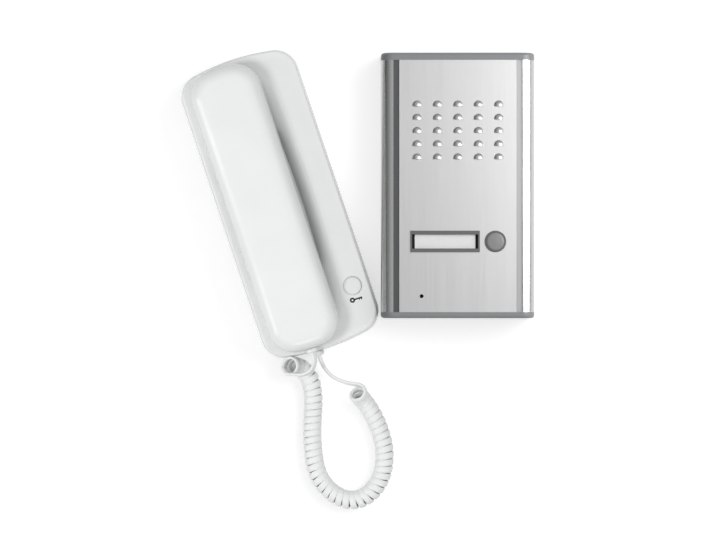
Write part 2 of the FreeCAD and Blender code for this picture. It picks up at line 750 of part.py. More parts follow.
def front_form(label, inset):
    """The upper half of the handset, with its long crest and soft shoulders."""
    inset = as_dim(inset)
    body = new_body(label)
    sketch = new_sketch(body, size.handset_split)
    draw_crowned(sketch, size.handset_width - inset * 2, size.handset_length - inset * 2,
                 size.handset_corner - inset, size.handset_crown - inset, handset_x)
    pad(body, sketch, size.handset_top - size.handset_split + 1, -size.front_draft)
    crest = new_sketch(body, 0.0, "YZ_Plane")
    radius = size.crest_radius - inset
    centre = size.handset_top - size.crest_radius
    half = size.handset_length / 2 + 5
    ceiling = size.handset_top + 6
    reach = math.acos(half.value / radius.value)
    end_height = centre.value + radius.value * math.sin(reach)
    crest.addGeometry([
        arc(0, centre.value, radius.value, reach, math.pi - reach),
        line(-half.value, end_height, -half.value, ceiling.value),
        line(-half.value, ceiling.value, half.value, ceiling.value),
        line(half.value, ceiling.value, half.value, end_height),
    ], False)
    constrain(crest, "Coincident", 0, 2, 1, 1)
    constrain(crest, "Coincident", 1, 2, 2, 1)
    constrain(crest, "Coincident", 2, 2, 3, 1)
    constrain(crest, "Coincident", 3, 2, 0, 1)
    constrain(crest, "Vertical", 1)
    constrain(crest, "Vertical", 3)
    constrain(crest, "Radius", 0, dim=radius)
    pin(crest, 0, 3, 0, centre)
    pin(crest, 2, 1, -half, ceiling)
    pin(crest, 2, 2, half, ceiling)
    pocket(body, crest, size.handset_width * 2, both_ways=True)
    low = size.handset_split.value + 1
    fillet(body, size.shoulder_radius - inset, lambda edge: all(v.Z > low for v in edge.Vertexes)
           and abs(edge.Vertexes[0].Z - edge.Vertexes[-1].Z) < 8)
    return body


def rear_form(label, inset):
    """The lower half: drafted all round, with a waist between the two caps."""
    inset = as_dim(inset)
    body = new_body(label)
    sketch = new_sketch(body, size.handset_split)
    draw_crowned(sketch, size.handset_width - inset * 2, size.handset_length - inset * 2,
                 size.handset_corner - inset, size.handset_crown - inset, handset_x)
    pad(body, sketch, size.handset_split - size.handset_base - inset, -size.rear_draft, downward=True)
    waist = new_sketch(body, 0.0, "YZ_Plane")
    half = waist_length / 2 + inset
    roof = size.waist_height + inset
    draw_polygon(waist, [(-half, 0), (half, 0), (half, roof), (-half, roof)])
    pocket(body, waist, size.handset_width * 2, both_ways=True)
    fillet(body, size.waist_round - inset, at_height(roof))
    return body


boss_radius = 3.2
boss_y = size.handset_length / 2 - size.boss_inset
receiver_y = (waist_length / 2 + size.handset_wall + boss_y - boss_radius) / 2
handset_mic_y = -receiver_y
handset_floor = size.handset_base + size.handset_wall
handset_end = -size.handset_length / 2
front_outer = front_form("front_outside", 0.0)
front_inner = front_form("front_inside", size.handset_wall)
front_pieces = [cut("front_skin", front_outer, front_inner)]
for side in (-1, 1):
    post = rod("front_boss", boss_radius, size.handset_top - size.handset_split, handset_x,
               side * boss_y, size.handset_split)
    front_pieces.append(shared("front_boss_trimmed", post, front_form("front_trim", 1.0)))
front_cuts = [rod_along("front_cord_notch", "y", size.grommet_radius, 9, handset_x, handset_end,
                        size.handset_split)]
for side in (-1, 1):
    front_cuts.append(rod("front_pilot", screw_radius, 8.5, handset_x, side * boss_y,
                          size.handset_split))
place(cut("handset_front_shell", joined("front_solid", *front_pieces),
          joined("front_openings", *front_cuts)), indoor)

rear_outer = rear_form("rear_outside", 0.0)
fillet(rear_outer, 1.5, at_height(size.handset_base))
rear_pieces = [cut("rear_skin", rear_outer, rear_form("rear_inside", size.handset_wall))]
for side in (-1, 1):
    rear_pieces.append(rod("rear_boss", boss_radius, size.handset_split - handset_floor + 0.5,
                           handset_x, side * boss_y, handset_floor - 0.5))
cradle_inner = size.receiver_radius + size.rest_gap
rear_pieces.append(ring("receiver_cradle", cradle_inner + 1.2, cradle_inner, 5, handset_x,
                        receiver_y, handset_floor - 0.5))
rear_cuts = [rod_along("rear_handset_notch", "y", size.grommet_radius, 9, handset_x,
                       handset_end, size.handset_split)]
for side in (-1, 1):
    rear_cuts.append(rod("handset_screw_hole", screw_radius + 0.2, 20, handset_x,
                         side * boss_y, size.handset_base - 1))
    rear_cuts.append(rod("handset_screw_sink", screw_head_radius, screw_head_height + 1.6,
                         handset_x, side * boss_y, size.handset_base - 1))
rear_cuts.append(rod("ear_hole", size.sound_hole_radius, 4, handset_x, receiver_y,
                     size.handset_base - 1))
rear_cuts.append(rod("mouth_hole", size.sound_hole_radius, 4, handset_x, handset_mic_y,
                     size.handset_base - 1))
for number in range(6):
    angle = number * math.pi / 3
    rear_cuts.append(rod("ear_hole", size.sound_hole_radius, 4,
                         handset_x + size.sound_hole_ring * math.cos(angle),
                         receiver_y + size.sound_hole_ring * math.sin(angle), size.handset_base - 1))
place(cut("handset_rear_shell", joined("rear_shell_solid", *rear_pieces),
          joined("rear_shell_openings", *rear_cuts)), indoor)

place(ring("receiver_gasket", size.receiver_radius - 0.5, size.sound_hole_ring + 3, 1,
           handset_x, receiver_y, handset_floor), indoor)
place(joined("receiver_capsule",
             rod("receiver_rim", size.receiver_radius, 2.5, handset_x, receiver_y, handset_floor + 1),
             rod("receiver_can", size.receiver_radius - 4, size.receiver_depth, handset_x,
                 receiver_y, handset_floor + 1)), indoor)
boot_radius = size.mic_radius + size.boot_wall
boot = rod("boot_outside", boot_radius, size.mic_depth + 1, handset_x, handset_mic_y, handset_floor)
boot_well = rod("boot_well", size.mic_radius, size.mic_depth + 2, handset_x, handset_mic_y,
                handset_floor + 1)
boot_port = rod("boot_port", size.sound_hole_radius, 3, handset_x, handset_mic_y, handset_floor - 1)
place(cut("handset_mic_boot", boot, joined("boot_cuts", boot_well, boot_port)), indoor)
place(rod("handset_mic", size.mic_radius, size.mic_depth, handset_x, handset_mic_y,
          handset_floor + 1), indoor)
waist_floor = size.waist_height + size.handset_wall
place(block("ballast_weight", 34, 46, 6, handset_x, 12, waist_floor), indoor)
place(block("handset_board", 30, 20, size.board_thickness, handset_x, 16 - waist_length / 2,
            waist_floor), indoor)
place(grommet("handset_grommet", handset_x, handset_end, size.handset_split, 4.0), indoor)
for number, side in enumerate((-1, 1), start=1):
    seat = size.handset_base + screw_head_height + 0.6
    place(screw(f"handset_screw_{number}", handset_x, side * boss_y, seat, 21), indoor)

# ---------------------------------------------------------------- cord

print("cord")

cord_radius = size.cord_diameter / 2
coil_radius = size.coil_diameter / 2


def exit_point(x, end, height):
    """The centre of a strain relief's outer face, seen from the station's centre."""
    return turn.multVec(Vector(x.value, (end - size.collar_length).value, height.value))


def rounded_path(points):
    """Straight runs joined by tangent arcs, each as large as its two runs allow."""
    edges = []
    radii = []
    start = points[0]
    for before, corner, after in zip(points, points[1:], points[2:]):
        back, ahead = before - corner, after - corner
        shorter = min(back.Length, ahead.Length)
        back.normalize()
        ahead.normalize()
        half_turn = (math.pi - back.getAngle(ahead)) / 2
        trim = 0.45 * shorter
        radius = trim / math.tan(half_turn)
        radii.append(radius)
        first, last = corner + back * trim, corner + ahead * trim
        inward = (back + ahead).normalize()
        middle = corner + inward * (radius / math.cos(half_turn) - radius)
        edges.append(Part.LineSegment(start, first).toShape())
        edges.append(Part.Arc(first, middle, last).toShape())
        start = last
    edges.append(Part.LineSegment(start, points[-1]).toShape())
    return Part.Wire(edges), radii


def tube(label, points, radius):
    """A plain round tube along a route, checked against its section times its length."""
    path, radii = rounded_path(points)
    along = points[1] - points[0]
    profile = Part.Wire([Part.Circle(points[0], along, radius.value).toShape()])
    solid = path.makePipeShell([profile], True, False)
    expected = math.pi * radius.value ** 2 * path.Length
    print(label, "length", round(path.Length, 1), "volume ratio", round(solid.Volume / expected, 4),
          "radii", [round(value, 1) for value in radii])
    if not solid.isValid() or abs(solid.Volume / expected - 1) > 0.01:
        raise RuntimeError(f"the tube {label} is twisted")
    thing = doc.addObject("Part::Feature", label)
    thing.Label = label
    thing.Shape = solid
    return place(thing, beside_station)


# Routes are seen from the centre of the indoor station, with heights above the floor.
coil_route = [
    (7.1, -116.6, 18.0), (11.0, -116.8, 12.6), (17.3, -119.8, 7.6), (22.1, -126.6, 6.6),
    (24.3, -137.5, 6.5), (24.2, -148.5, 6.6), (23.3, -160.7, 6.5), (23.6, -173.6, 6.6),
    (25.5, -190.9, 6.5), (30.9, -202.4, 6.6), (40.6, -211.3, 6.5), (51.5, -215.1, 6.6),
    (63.1, -211.9, 6.5), (72.3, -201.0, 6.6), (75.9, -188.5, 6.5), (75.5, -173.0, 6.6),
    (69.3, -155.5, 6.7), (62.5, -144.6, 8.0), (57.6, -138.9, 12.4), (55.8, -135.9, 17.6),
]
handset_tail_route = [(24.4, -118.4, 26.8), (18.6, -123.2, 23.2), (9.2, -124.0, 19.8)]
base_tail_route = [
    (33.0, -120.1, 6.2), (38.0, -125.2, 5.6), (44.6, -128.4, 7.9), (51.2, -129.6, 12.0),
    (57.0, -130.4, 16.4),
]
exit_run = 5
handset_exit = exit_point(handset_x, handset_end, size.handset_split)
base_exit = exit_point(size.base_exit_x, station_end, size.parting_height)
tube("cord_coil", [Vector(*point) for point in coil_route], coil_radius)
outward = turn.multVec(Vector(0, -1, 0))
tube("cord_handset_tail", [
    handset_exit + outward * size.rest_gap.value, handset_exit + outward * exit_run,
    *[Vector(*point) for point in handset_tail_route]], cord_radius)
tube("cord_base_tail", [
    base_exit, base_exit + outward * exit_run,
    *[Vector(*point) for point in base_tail_route]], cord_radius)

# ---------------------------------------------------------------- body of the door station

print("door station")

plate_top = size.door_depth
ledge_top = plate_top - size.plate_thickness
rail_length = size.door_length - size.top_cap - size.bottom_cap
rail_mid = (size.bottom_cap - size.top_cap) / 2
plate_edge = plate_width / 2
stripe_edge = plate_edge + size.stripe_width
outside = size.door_width / 2
inside = outside - size.rail_wall
bed_underside = ledge_top - size.rail_wall
port_x = inside - size.screw_port_radius + 0.3
port_z = bed_underside - size.screw_port_radius + 0.3
joint_gap = 0.1


def edges_at(x, z):
    """Picks the lengthwise edges at one corner of a section, on either side."""
    def wanted(edge):
        first, last = edge.Vertexes[0].Point, edge.Vertexes[-1].Point
        there = abs(abs(first.x) - x.value) < 1e-5 and abs(first.z - z.value) < 1e-5
        return there and abs(first.x - last.x) < 1e-5 and abs(first.z - last.z) < 1e-5
    return wanted


def extruded(label, points, length, middle_y):
    """A section in the XZ plane, drawn out along Y and centred on a station."""
    body = new_body(label)
    sketch = new_sketch(body, as_dim(middle_y) * -1 - as_dim(length) / 2, "XZ_Plane")
    draw_polygon(sketch, points)
    pad(body, sketch, length)
    return body


def side_rail(label, side):
    """One aluminium side extrusion: ledge, stripe bed, rounded flank, foot and screw port."""
    corners = [
        (plate_edge - size.ledge_width, ledge_top), (stripe_edge, ledge_top),
        (stripe_edge, plate_top),
        (outside, plate_top), (outside, as_dim(0)), (outside - size.rail_foot, as_dim(0)),
        (outside - size.rail_foot, size.rail_wall), (inside, size.rail_wall),
        (inside, bed_underside), (plate_edge - size.ledge_width, bed_underside),
    ]
    body = extruded(label + "_section", [(x * side, z) for x, z in corners], rail_length, rail_mid)
    fillet(body, rail_round, edges_at(outside, plate_top))
    fillet(body, rail_round - size.rail_wall, edges_at(inside, bed_underside))
    port = rod_along(label + "_port", "y", size.screw_port_radius, rail_length, port_x * side,
                     rail_mid, port_z)
    bore = rod_along(label + "_port_bore", "y", 1.2, rail_length + 2, port_x * side, rail_mid, port_z)
    return cut(label, joined(label + "_solid", body, port), bore)


def end_cap(label, side, thickness):
    """A moulded cap that closes one end of the extrusion, with sunk screws."""
    middle = (size.door_length / 2 - thickness / 2) * side
    body = extruded(label + "_form", [(-outside, 0), (outside, 0), (outside, plate_top),
                                      (-outside, plate_top)], thickness, middle)
    fillet(body, rail_round, edges_at(outside, plate_top))
    end_y = side * size.door_length.value / 2
    fillet(body, size.cap_round, lambda edge: all(abs(v.Y - end_y) < 1e-5 and v.Z > 1e-5
                                                  for v in edge.Vertexes))
    holes = []
    outer_face = size.door_length / 2 * side
    for across in (-1, 1):
        holes.append(rod_along(label + "_hole", "y", screw_radius + 0.1, 30, port_x * across,
                               outer_face, port_z))
        holes.append(rod_along(label + "_sink", "y", screw_head_radius + 0.1, screw_head_height * 2,
                               port_x * across, outer_face, port_z))
    return cut(label, body, joined(label + "_holes", *holes))


for name, side in (("left", -1), ("right", 1)):
    place(side_rail(f"side_rail_{name}", side), outdoor)
    stripe_middle = (plate_edge + stripe_edge) / 2 * side
    place(block(f"side_stripe_{name}", size.stripe_width - joint_gap * 2, rail_length,
                size.plate_thickness - size.stripe_step, stripe_middle, rail_mid, ledge_top), outdoor)
place(end_cap("end_cap_top", 1, size.top_cap), outdoor)
place(end_cap("end_cap_bottom", -1, size.bottom_cap), outdoor)


def cap_screw(label, side, across):
    """A screw through an end cap into the port of a side rail."""
    inner_face = size.door_length / 2 - screw_head_height
    head = rod_along(label + "_head", "y", screw_head_radius, screw_head_height, port_x * across,
                     (inner_face + screw_head_height / 2) * side, port_z)
    length = 12
    shank = rod_along(label + "_shank", "y", 1.2, length, port_x * across,
                      (inner_face - length / 2) * side, port_z)
    return joined(label, head, shank)


for number, (side, across) in enumerate(((1, -1), (1, 1), (-1, -1), (-1, 1)), start=1):
    place(cap_screw(f"cap_screw_{number}", side, across), outdoor)

# ---------------------------------------------------------------- front plate

frame_inner_width = size.frame_width - size.frame_side * 2
frame_inner_height = size.frame_height - size.frame_rim * 2
card_width = frame_inner_width - size.card_margin * 2
frame_seat_width = size.frame_width - size.frame_side
frame_seat_height = size.frame_height - size.frame_rim
bezel_neck = bezel_radius - 0.6


def louvre_sphere(label, across, along, skin):
    """The ball whose cap, standing above the plate, is one louvre's hood."""
    radius = (size.louvre_radius * size.louvre_radius + size.louvre_rise * size.louvre_rise) / (
        size.louvre_rise * 2)
    ball = doc.addObject("Part::Sphere", label)
    bind(ball, "Radius", radius - skin)
    return move(ball, size.louvre_pitch_x * across, louvre_first_y - size.louvre_pitch_y * along,
                plate_top + size.louvre_rise - radius)


def louvre_rows_form(label):
    """Long blocks, one per row, whose lower sides cut the hoods straight."""
    rows = []
    reach = size.louvre_radius + size.louvre_lip
    for along in range(louvre_rows):
        centre = louvre_first_y - size.louvre_pitch_y * along
        rows.append(block(label, plate_width, reach, 20, 0,
                          centre - size.louvre_lip + reach / 2, plate_top - 10))
    return joined(label, *rows)


first_column = -(louvre_columns - 1) / 2
places = [(first_column + column, row) for column in range(louvre_columns) for row in range(louvre_rows)]
sheet_blank = block("plate_blank", plate_width - joint_gap * 2, rail_length,
                    size.plate_thickness, 0, rail_mid, ledge_top)
hoods = shared("louvre_hoods", louvre_rows_form("louvre_row"),
               joined("louvre_balls", *[louvre_sphere("louvre_ball", across, along, 0)
                                        for across, along in places]))
hollow_balls = shared("louvre_mouths", louvre_rows_form("louvre_row_again"),
                      joined("louvre_cores", *[louvre_sphere("louvre_core", across, along,
                                                             size.louvre_skin)
                                               for across, along in places]))
trimmer = block("hood_trimmer", size.door_width, size.door_length, 30, 0, 0, ledge_top + 0.5)
raised_hoods = shared("raised_hoods", hoods, trimmer)
plate_holes = joined(
    "plate_holes",
    hollow_balls,
    block("name_window_hole", frame_seat_width, frame_seat_height, 10, size.frame_x, window_y,
          ledge_top - 4),
    rod("bezel_hole", bezel_neck + joint_gap, 10, size.call_x, window_y, ledge_top - 4),
    rod("mic_hole", size.mic_hole_radius, 10, size.mic_x, door_mic_y, ledge_top - 4),
)
place(cut("door_plate", joined("plate_pressed", sheet_blank, raised_hoods), plate_holes), outdoor)

# ---------------------------------------------------------------- name window and call button

frame_foot = plate_top - size.frame_depth
frame_solid = joined(
    "frame_solid",
    block("frame_flange", size.frame_width, size.frame_height, size.frame_rise, size.frame_x,
          window_y, plate_top),
    block("frame_neck", frame_seat_width - joint_gap * 2, frame_seat_height - joint_gap * 2,
          size.frame_depth + 0.2, size.frame_x, window_y, frame_foot),
)
frame_hole = block("frame_hole", frame_inner_width, frame_inner_height, 20, size.frame_x,
                   window_y, frame_foot - 5)
place(cut("name_frame", frame_solid, frame_hole), outdoor)
pane_height = frame_inner_height - joint_gap * 2
card_seat = plate_top - size.window_thickness - size.card_thickness - 0.4
backing_foot = frame_foot - 1.5
place(joined("name_backing",
             block("backing_flange", frame_seat_width, frame_seat_height, 1.5, size.frame_x,
                   window_y, backing_foot),
             block("backing_pad", frame_inner_width - joint_gap * 2, pane_height,
                   card_seat - frame_foot + 0.5, size.frame_x, window_y, frame_foot - 0.5)),
      outdoor)
place(block("name_card", card_width, pane_height, size.card_thickness, size.frame_x,
            window_y, card_seat), outdoor)
place(block("name_window", card_width, pane_height, size.window_thickness, size.frame_x,
            window_y, card_seat + size.card_thickness), outdoor)
lamp_foot = size.door_board_height + size.board_thickness
place(block("card_lamp", 24, 5, backing_foot - lamp_foot, size.frame_x, window_y, lamp_foot), outdoor)

bezel_foot = plate_top - size.frame_depth
call_bore = size.call_radius + size.button_gap / 2
place(turned("call_bezel", [
    (call_bore, bezel_foot), (bezel_neck, bezel_foot), (bezel_neck, plate_top),
    (bezel_radius, plate_top), (bezel_radius, plate_top + size.bezel_rise - 0.3),
    (bezel_radius - 0.4, plate_top + size.bezel_rise),
    (call_bore, plate_top + size.bezel_rise),
], size.call_x, window_y), outdoor)
call_seat = lamp_foot
call_switch, call_plunger = push_switch("call_switch", size.call_x, window_y, call_seat)
place(turned("call_button", button_outline(
    size.call_radius, plate_top + size.call_rise, bezel_foot - size.rest_gap,
    call_seat + size.switch_height + size.plunger_rise), size.call_x, window_y), outdoor)
place(call_plunger, outdoor)
place(call_switch, outdoor)

# ---------------------------------------------------------------- inside the door station

print("works of the door station")

housing_half = outside - size.rail_foot - size.housing_gap
housing_length = rail_length - size.housing_gap * 2
housing_top = bed_underside - size.housing_gap
housing_parts = [cut(
    "housing_shell",
    block("housing_outside", housing_half * 2, housing_length, housing_top, 0, rail_mid, 0),
    block("housing_inside", (housing_half - size.housing_wall) * 2,
          housing_length - size.housing_wall * 2, housing_top, 0, rail_mid, size.housing_wall))]
door_peg_x = plate_width / 2 - 7
door_peg_y = size.door_board_length / 2 - 6
for side_x, side_y in post_places:
    housing_parts.append(rod("door_peg", 3, size.door_board_height - size.housing_wall + 0.5,
                             side_x * door_peg_x, door_board_y + side_y * door_peg_y,
                             size.housing_wall - 0.5))
housing_cuts = [rod("door_cable_hole", size.door_cable_radius, 8, 0, size.door_cable_y, -2)]
for side in (-1, 1):
    housing_cuts.append(rod("door_wall_hole", size.wall_screw_radius, 8, 0,
                            size.door_screw_spacing / 2 * side, -2))
place(cut("rear_housing", joined("housing_solid", *housing_parts),
          joined("housing_cuts", *housing_cuts)), outdoor)

door_board_half = plate_width / 2 - 3
door_sheet = block("door_board_sheet", door_board_half * 2, size.door_board_length,
                   size.board_thickness, 0, door_board_y, size.door_board_height)
door_board_pieces = [door_sheet]
for part_x, part_y, part_radius, part_height in ((9, -20, 4, 8), (21, -24, 5, 10), (39, 22, 4, 8)):
    door_board_pieces.append(rod("door_capacitor", part_radius, part_height, part_x - door_board_half,
                                 door_board_y + part_y, lamp_foot - 0.2))
for part_x, part_y, part_width, part_length, part_height in ((15, 26, 16, 9, 4), (47, -12, 10, 16, 3)):
    door_board_pieces.append(block("door_chip", part_width, part_length, part_height,
                                   part_x - door_board_half, door_board_y + part_y, lamp_foot - 0.2))
door_access = rod("door_access", 5, 12, 0, -size.door_screw_spacing / 2, size.door_board_height - 2)
place(cut("door_board", joined("door_board_built", *door_board_pieces), door_access), outdoor)
door_board_end = door_board_y - size.door_board_length / 2
place(terminal("door_terminal", door_board_half - 17, door_board_end + 8, lamp_foot), outdoor)

speaker_face = ledge_top - 1
speaker_foot = speaker_face - size.speaker_depth
magnet_radius = size.speaker_radius / 2
place(ring("speaker_gasket", size.speaker_radius, size.speaker_radius - 2.5, 1, 0, speaker_y,
           speaker_face), outdoor)
place(turned("loudspeaker", [
    (0, speaker_foot), (magnet_radius, speaker_foot), (magnet_radius, speaker_foot + 6),
    (size.speaker_radius - 4, speaker_face - 2.5), (size.speaker_radius, speaker_face - 2),
    (size.speaker_radius, speaker_face), (size.speaker_radius - 2.5, speaker_face),
    (magnet_radius * 0.5, speaker_face - 5), (0, speaker_face - 3.5),
], 0, speaker_y), outdoor)
door_boot_foot = ledge_top - size.mic_depth - 2
door_boot = rod("door_boot_outside", boot_radius, size.mic_depth + 2, size.mic_x, door_mic_y,
                door_boot_foot)
door_boot_well = rod("door_boot_well", size.mic_radius, size.mic_depth, size.mic_x, door_mic_y,
                     door_boot_foot + 1)
door_boot_port = rod("door_boot_port", size.mic_hole_radius, 4, size.mic_x, door_mic_y, ledge_top - 2)
place(cut("door_mic_boot", door_boot, joined("door_boot_cuts", door_boot_well, door_boot_port)), outdoor)
place(rod("door_mic", size.mic_radius, size.mic_depth, size.mic_x, door_mic_y, door_boot_foot + 1), outdoor)

# ---------------------------------------------------------------- checks and files

doc.recompute()
for thing in doc.Objects:
    if "Invalid" in thing.State or "Error" in thing.State:
        raise RuntimeError(f"{thing.Label} did not compute: {thing.State}")
for thing in nodes:
    if thing.Shape.isNull() or not thing.Shape.isValid():
        raise RuntimeError(f"{thing.Label} has no sound shape")

for thing in nodes:
    box = thing.Shape.optimalBoundingBox()
    print(thing.Label, thing.Shape.isValid(), len(thing.Shape.Solids), round(thing.Shape.Volume),
          [round(v, 1) for v in (box.XMin, box.XMax, box.YMin, box.YMax, box.ZMin, box.ZMax)])
os.makedirs("parts", exist_ok=True)
for thing in nodes:
    thing.Shape.exportStep(f"parts/{thing.Label}.step")
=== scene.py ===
import json
import math

import bmesh
import bpy
from mathutils import Matrix, Vector


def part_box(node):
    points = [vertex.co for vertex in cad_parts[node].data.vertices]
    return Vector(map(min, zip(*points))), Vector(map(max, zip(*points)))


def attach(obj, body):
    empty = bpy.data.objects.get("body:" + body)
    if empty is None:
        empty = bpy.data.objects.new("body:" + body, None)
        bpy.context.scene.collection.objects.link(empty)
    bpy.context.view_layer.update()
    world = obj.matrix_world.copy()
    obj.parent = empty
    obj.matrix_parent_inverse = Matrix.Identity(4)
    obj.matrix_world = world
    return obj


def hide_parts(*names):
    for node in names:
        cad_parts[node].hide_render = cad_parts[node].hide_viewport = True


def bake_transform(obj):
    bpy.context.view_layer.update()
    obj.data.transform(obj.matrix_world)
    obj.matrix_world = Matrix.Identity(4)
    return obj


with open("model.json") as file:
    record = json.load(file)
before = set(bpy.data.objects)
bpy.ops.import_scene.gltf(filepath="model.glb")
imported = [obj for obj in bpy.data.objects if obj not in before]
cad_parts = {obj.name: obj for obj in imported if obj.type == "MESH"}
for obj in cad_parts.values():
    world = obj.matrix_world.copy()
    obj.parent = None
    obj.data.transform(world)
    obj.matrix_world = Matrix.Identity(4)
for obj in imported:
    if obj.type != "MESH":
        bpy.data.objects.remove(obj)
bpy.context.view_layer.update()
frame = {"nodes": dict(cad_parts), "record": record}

cadNodes = frame["nodes"]
millimetre = 0.001
scene = bpy.context.scene

print("camera, floor and lamps")

camera = {"target": (0.00065, -0.0478, 0.020), "distance": 2.5, "frameWidth": 0.5155, "sensorWidth": 36}


def addCamera():
    # straight above the set
    data = bpy.data.cameras.new("camera")
    data.sensor_width = camera["sensorWidth"]
    data.lens = camera["sensorWidth"] * camera["distance"] / camera["frameWidth"]
    cam = bpy.data.objects.new("camera", data)
    cam.location = Vector(camera["target"]) + Vector((0, 0, camera["distance"]))
    scene.collection.objects.link(cam)
    scene.camera = cam


lamps = {
    "windowLamp": {"lights": "indoorAndFloor", "place": (0.9, 0.4, 1.0), "size": (0.9, 0.9), "power": 5.8,
                   "glints": False},
    "highLamp": {"lights": "indoor", "place": (-0.54, -0.16, 1.12), "size": (0.28, 0.28), "power": 4.7,
                 "glints": False},
    "shoulderLamp": {"lights": "indoor", "place": (-1.424, -0.198, 0.75), "size": (0.3, 1.0), "power": 4.6,
                     "glints": True},
    "cornerLamp": {"lights": "indoor", "place": (-1.272, -0.649, 0.75), "size": (0.15, 0.8), "power": 2.6,
                   "glints": True},
    "footLamp": {"lights": "indoor", "place": (0.3, -1.35, 0.75), "size": (0.5, 0.3), "power": 2.6,
                 "glints": True},
    "plateLamp": {"lights": "door", "place": (0.46, 0.14, 0.62), "size": (0.36, 0.5), "power": 2.9,
                  "glints": True},
    "railLamp": {"lights": "door", "place": (1.2, 0.1, 0.75), "size": (0.4, 0.9), "power": 3.4,
                 "glints": True},
}
lampAims = {"indoor": (-0.0558, 0, 0.03), "indoorAndFloor": (-0.0558, 0, 0.03), "door": (0.072, 0.0127, 0.03)}
# every piece that starts to the right of this line belongs to the door station
doorStationEdge = 0.0163


def addLamp(name, receivers):
    look = lamps[name]
    data = bpy.data.lights.new(name, "AREA")
    data.shape = "RECTANGLE"
    data.size, data.size_y = look["size"]
    data.energy = look["power"]
    lamp = bpy.data.objects.new(name, data)
    lamp.location = look["place"]
    aim = Vector(lampAims[look["lights"]]) - Vector(look["place"])
    lamp.rotation_euler = aim.to_track_quat("-Z", "Y").to_euler()
    lamp.visible_camera = False
    lamp.visible_glossy = look["glints"]
    lamp.light_linking.receiver_collection = receivers[look["lights"]]
    scene.collection.objects.link(lamp)


def addLamps(floorPlane, newPieces):
    # each station has its own lamps, and the floor shares the softest one
    receivers = {lit: bpy.data.collections.new(lit) for lit in lampAims}
    for name, node in cadNodes.items():
        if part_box(name)[0][0] > doorStationEdge:
            receivers["door"].objects.link(node)
        else:
            newPieces.append(node)
    for piece in newPieces:
        receivers["indoor"].objects.link(piece)
        receivers["indoorAndFloor"].objects.link(piece)
    receivers["indoorAndFloor"].objects.link(floorPlane)
    for name in lamps:
        addLamp(name, receivers)


sky = {"overhead": 0.58, "skyline": 0.32, "fullHeight": 0.85, "leftDrop": 0.26, "leftFrom": -0.25,
       "leftTo": -0.8}


def addSky():
    # bright overhead, dimmer towards the table's edge and dimmer again on the left
    world = bpy.data.worlds.new("studio")
    world.use_nodes = True
    tree = world.node_tree
    place = tree.nodes.new("ShaderNodeTexCoord")
    split = tree.nodes.new("ShaderNodeSeparateXYZ")
    rise = tree.nodes.new("ShaderNodeMapRange")
    rise.interpolation_type = "SMOOTHSTEP"
    rise.inputs["From Max"].default_value = sky["fullHeight"]
    rise.inputs["To Min"].default_value = sky["skyline"]
    rise.inputs["To Max"].default_value = sky["overhead"]
    left = tree.nodes.new("ShaderNodeMapRange")
    left.interpolation_type = "SMOOTHSTEP"
    left.inputs["From Min"].default_value = sky["leftFrom"]
    left.inputs["From Max"].default_value = sky["leftTo"]
    left.inputs["To Max"].default_value = sky["leftDrop"]
    level = tree.nodes.new("ShaderNodeMath")
    level.operation = "SUBTRACT"
    tree.links.new(place.outputs["Generated"], split.inputs[0])
    tree.links.new(split.outputs["Z"], rise.inputs["Value"])
    tree.links.new(split.outputs["X"], left.inputs["Value"])
    tree.links.new(rise.outputs["Result"], level.inputs[0])
    tree.links.new(left.outputs["Result"], level.inputs[1])
    tree.links.new(level.outputs[0], tree.nodes["Background"].inputs["Strength"])
    tree.nodes["Background"].inputs["Color"].default_value = (1, 1, 1, 1)
    scene.world = world


floor = {"size": 30, "gap": 0.0002, "colour": 0.85, "roughness": 0.9, "lift": 0.56}


def addFloor():
    bm = bmesh.new()
    bmesh.ops.create_grid(bm, x_segments=1, y_segments=1, size=floor["size"] / 2)
    bmesh.ops.translate(bm, verts=bm.verts, vec=(0, 0, -floor["gap"]))
    mesh = bpy.data.meshes.new("floor")
    bm.to_mesh(mesh)
    bm.free()
    plane = bpy.data.objects.new("floor", mesh)
    scene.collection.objects.link(plane)
    material = bpy.data.materials.new("paleFloor")
    material.use_nodes = True
    tree = material.node_tree
    shader = tree.nodes["Principled BSDF"]
    shader.inputs["Base Color"].default_value = (floor["colour"],) * 3 + (1,)
    shader.inputs["Roughness"].default_value = floor["roughness"]
    # a glow that only the camera, mirrors and glass see, so that it lights nothing
    path = tree.nodes.new("ShaderNodeLightPath")
    seen = path.outputs["Is Camera Ray"]
    for other in ("Is Glossy Ray", "Is Transmission Ray"):
        either = tree.nodes.new("ShaderNodeMath")
        either.operation = "MAXIMUM"
        tree.links.new(seen, either.inputs[0])
        tree.links.new(path.outputs[other], either.inputs[1])
        seen = either.outputs[0]
    strength = tree.nodes.new("ShaderNodeMath")
    strength.operation = "MULTIPLY"
    strength.inputs[1].default_value = floor["lift"]
    tree.links.new(seen, strength.inputs[0])
    lift = tree.nodes.new("ShaderNodeEmission")
    tree.links.new(strength.outputs[0], lift.inputs["Strength"])
    both = tree.nodes.new("ShaderNodeAddShader")
    tree.links.new(shader.outputs[0], both.inputs[0])
    tree.links.new(lift.outputs[0], both.inputs[1])
    tree.links.new(both.outputs[0], tree.nodes["Material Output"].inputs["Surface"])
    mesh.materials.append(material)
    return plane


scene.view_settings.view_transform = "Standard"
addCamera()
addSky()
floorPlane = addFloor()

print("curly cord")

